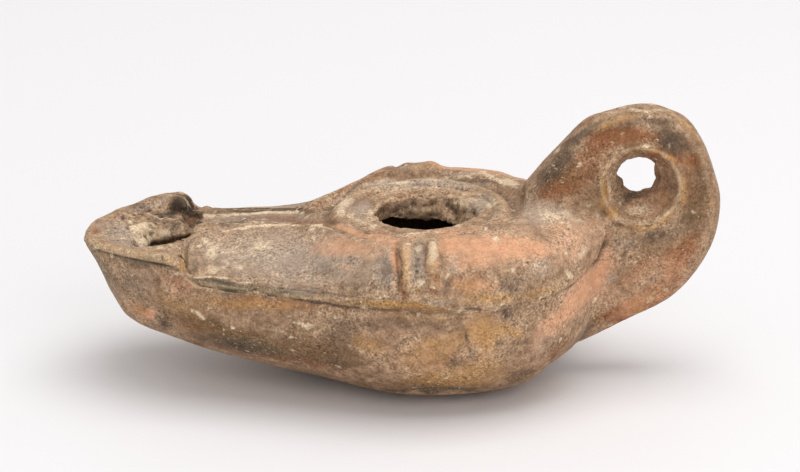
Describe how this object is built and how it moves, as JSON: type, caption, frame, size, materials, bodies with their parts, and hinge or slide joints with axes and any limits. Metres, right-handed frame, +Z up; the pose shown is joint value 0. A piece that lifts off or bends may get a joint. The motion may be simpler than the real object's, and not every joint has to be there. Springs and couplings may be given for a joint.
{
  "type": "terracotta oil lamp",
  "caption": "Hollow clay oil lamp with a keeled nozzle, sunk disc, broken filling hole and an upright pierced handle; it stands on its flat base.",
  "frame": {"origin": "centre of the flat base, on the surface that the lamp stands on", "axes": "+X towards the handle, -X towards the nozzle, +Z up"},
  "size_m": [0.115, 0.0612, 0.0499],
  "materials": {
    "terracotta": "unglazed fired clay, matt, with sooty grey patches, orange spots and pale lime crust"
  },
  "bodies": {
    "root": {"lamp": "terracotta"}
  },
  "joints": []
}
